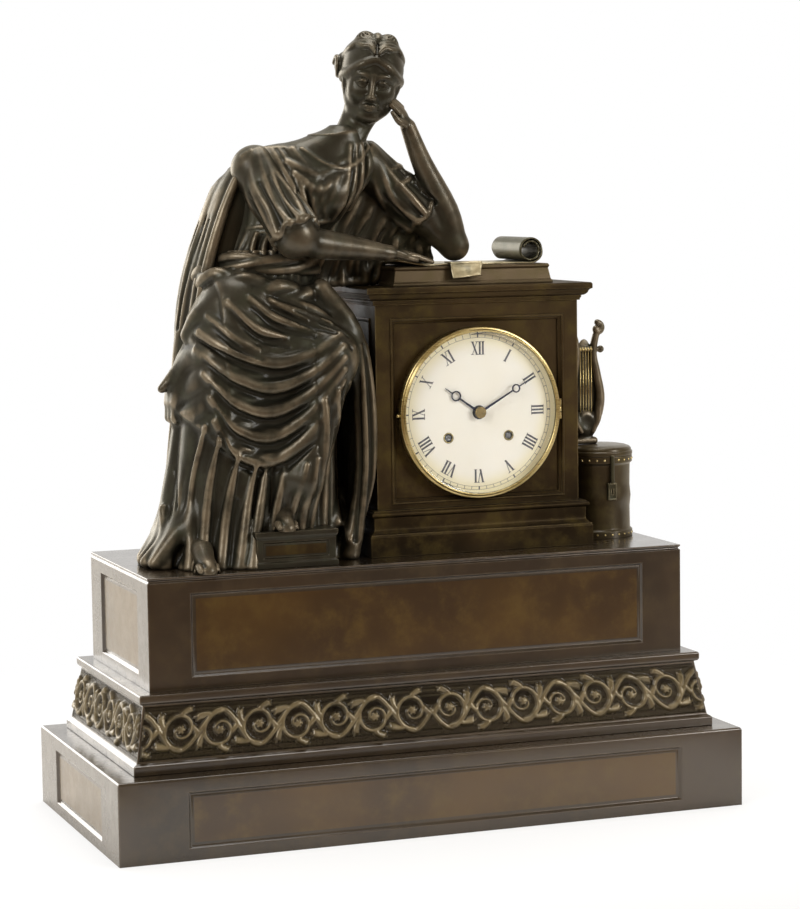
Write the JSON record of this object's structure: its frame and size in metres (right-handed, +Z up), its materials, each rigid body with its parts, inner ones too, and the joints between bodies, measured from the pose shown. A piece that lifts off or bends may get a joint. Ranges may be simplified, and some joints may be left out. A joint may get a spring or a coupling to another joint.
{
  "type": "figural mantel clock",
  "caption": "Patinated bronze mantel clock on a stepped base, with a draped figure leaning on the case, a hinged glazed dial and a pendulum striking movement.",
  "frame": {"origin": "middle of the base's underside, on the surface it stands on", "axes": "+Z up, -Y towards the viewer of the dial, +X to the right as seen from the front"},
  "size_m": [0.4, 0.19, 0.4815],
  "materials": {
    "figure_bronze": "cast bronze with a dark green-brown patina, waxed",
    "case_bronze": "bronze with a chocolate-brown patina, waxed",
    "base_bronze": "bronze with a warm brown patina rubbed golden on its faces",
    "gilt_brass": "gilt brass, toned with age",
    "enamel": "cream vitreous enamel on copper",
    "glass": "clear domed glass",
    "board_oak": "stained oak board",
    "blued_steel": "heat-blued polished steel",
    "bell_metal": "turned bell metal",
    "spring_steel": "tempered spring steel",
    "bright_steel": "plain steel",
    "movement_brass": "grained clock brass"
  },
  "bodies": {
    "root": {"base_board": "board_oak", "tie_rods": "bright_steel", "lower_plinth": "base_bronze", "frieze_tier": "base_bronze", "upper_plinth": "base_bronze", "fixing_studs": "bright_steel", "case_plinth": "case_bronze", "case_body": "case_bronze", "case_cornice": "case_bronze", "attic_block": "case_bronze", "parchment": "case_bronze", "scroll_box": "case_bronze", "scroll_box_lid": "case_bronze", "lyre": "case_bronze", "robe": "figure_bronze", "torso": "figure_bronze", "head": "figure_bronze", "left_arm": "figure_bronze", "right_arm": "figure_bronze", "mantle": "figure_bronze", "sandalled_feet": "figure_bronze", "foot_block": "figure_bronze", "bezel_ring": "gilt_brass", "hinge_pins": "bright_steel", "dial": "enamel", "dial_pan": "movement_brass", "front_plate": "movement_brass", "back_plate": "movement_brass", "plate_pillars": "movement_brass", "bell": "bell_metal", "suspension_cock": "movement_brass", "back_ring": "gilt_brass", "movement_straps": "bright_steel"},
    "bezel_door": {"bezel": "gilt_brass", "bezel_glass": "glass"},
    "back_door": {"back_door": "case_bronze"},
    "minute_arbor": {"centre_wheel": "movement_brass", "minute_hand": "blued_steel", "hand_collet": "movement_brass"},
    "hour_pipe": {"hour_wheel": "movement_brass", "hour_hand": "blued_steel"},
    "motion_wheel": {"minute_wheel": "movement_brass"},
    "second_arbor": {"second_wheel": "movement_brass"},
    "third_arbor": {"third_wheel": "movement_brass"},
    "escape_arbor": {"escape_wheel": "movement_brass"},
    "going_drum": {"going_barrel": "movement_brass", "going_mainspring": "spring_steel"},
    "strike_drum": {"strike_barrel": "movement_brass", "strike_mainspring": "spring_steel"},
    "going_winder": {"going_winding_arbor": "bright_steel"},
    "strike_winder": {"strike_winding_arbor": "bright_steel"},
    "anchor": {"pallets": "bright_steel"},
    "pendulum": {"pendulum_rod": "movement_brass", "pendulum_bob": "movement_brass"},
    "strike_second_arbor": {"strike_second_wheel": "movement_brass", "count_wheel": "movement_brass"},
    "pin_arbor": {"pin_wheel": "movement_brass"},
    "fly_arbor": {"fly": "bright_steel"},
    "hammer_arbor": {"hammer": "bright_steel"}
  },
  "joints": [
    {"name": "bezel_hinge", "type": "hinge", "parent": "root", "child": "bezel_door", "pos_m": [0.1045, -0.0341, 0.2476], "axis": [0, 0, 1], "range_deg": [0, 105]},
    {"name": "back_door_hinge", "type": "hinge", "parent": "root", "child": "back_door", "pos_m": [0.1025, 0.0396, 0.2476], "axis": [0, 0, -1], "range_deg": [0, 115]},
    {"name": "minute_turn", "type": "hinge", "parent": "root", "child": "minute_arbor", "pos_m": [0.05, -0.0064, 0.2476], "axis": [0, 1, 0], "continuous": true},
    {"name": "hour_turn", "type": "hinge", "parent": "root", "child": "hour_pipe", "pos_m": [0.05, -0.0064, 0.2476], "axis": [0, 1, 0], "continuous": true},
    {"name": "motion_wheel_turn", "type": "hinge", "parent": "root", "child": "motion_wheel", "pos_m": [0.05, -0.022, 0.238], "axis": [0, 1, 0], "continuous": true},
    {"name": "second_wheel_turn", "type": "hinge", "parent": "root", "child": "second_arbor", "pos_m": [0.06393, -0.0064, 0.25125], "axis": [0, 1, 0], "continuous": true},
    {"name": "third_wheel_turn", "type": "hinge", "parent": "root", "child": "third_arbor", "pos_m": [0.04429, -0.0064, 0.26043], "axis": [0, 1, 0], "continuous": true},
    {"name": "escape_wheel_turn", "type": "hinge", "parent": "root", "child": "escape_arbor", "pos_m": [0.05, -0.0064, 0.26957], "axis": [0, 1, 0], "continuous": true},
    {"name": "going_barrel_turn", "type": "hinge", "parent": "root", "child": "going_drum", "pos_m": [0.07, -0.0064, 0.2324], "axis": [0, 1, 0], "continuous": true},
    {"name": "going_winding", "type": "hinge", "parent": "root", "child": "going_winder", "pos_m": [0.07, -0.0064, 0.2324], "axis": [0, 1, 0], "continuous": true},
    {"name": "strike_winding", "type": "hinge", "parent": "root", "child": "strike_winder", "pos_m": [0.03, -0.0064, 0.2324], "axis": [0, 1, 0], "continuous": true},
    {"name": "strike_second_turn", "type": "hinge", "parent": "root", "child": "strike_second_arbor", "pos_m": [0.02441, -0.0064, 0.25139], "axis": [0, 1, 0], "continuous": true},
    {"name": "strike_barrel_turn", "type": "hinge", "parent": "root", "child": "strike_drum", "pos_m": [0.03, -0.0064, 0.2324], "axis": [0, 1, 0], "continuous": true},
    {"name": "pin_wheel_turn", "type": "hinge", "parent": "root", "child": "pin_arbor", "pos_m": [0.03016, -0.0064, 0.26372], "axis": [0, 1, 0], "continuous": true},
    {"name": "fly_turn", "type": "hinge", "parent": "root", "child": "fly_arbor", "pos_m": [0.03264, -0.0064, 0.27299], "axis": [0, 1, 0], "continuous": true},
    {"name": "pendulum_swing", "type": "hinge", "parent": "root", "child": "pendulum", "pos_m": [0.05, 0.0153, 0.27977], "axis": [0, 1, 0], "range_deg": [-3, 3]},
    {"name": "anchor_rock", "type": "hinge", "parent": "root", "child": "anchor", "pos_m": [0.05, -0.0064, 0.27977], "axis": [0, 1, 0], "range_deg": [-3.2, 3.2]},
    {"name": "hammer_lift", "type": "hinge", "parent": "root", "child": "hammer_arbor", "pos_m": [0.02, -0.0064, 0.2696], "axis": [0, 1, 0], "range_deg": [0, 14], "stiffness_Nm_per_rad": 0.006, "springref_deg": -20.05}
  ],
  "couplings": [
    {"joint": "hour_turn", "follows": "minute_turn", "ratio": 0.083333},
    {"joint": "motion_wheel_turn", "follows": "minute_turn", "ratio": -0.33333},
    {"joint": "second_wheel_turn", "follows": "minute_turn", "ratio": -0.125},
    {"joint": "going_barrel_turn", "follows": "minute_turn", "ratio": 0.025},
    {"joint": "third_wheel_turn", "follows": "minute_turn", "ratio": -12},
    {"joint": "escape_wheel_turn", "follows": "minute_turn", "ratio": 135},
    {"joint": "strike_barrel_turn", "follows": "strike_second_turn", "ratio": -0.2},
    {"joint": "pin_wheel_turn", "follows": "strike_second_turn", "ratio": -7.5},
    {"joint": "fly_turn", "follows": "strike_second_turn", "ratio": 52.5},
    {"joint": "anchor_rock", "follows": "pendulum_swing", "ratio": 1}
  ]
}
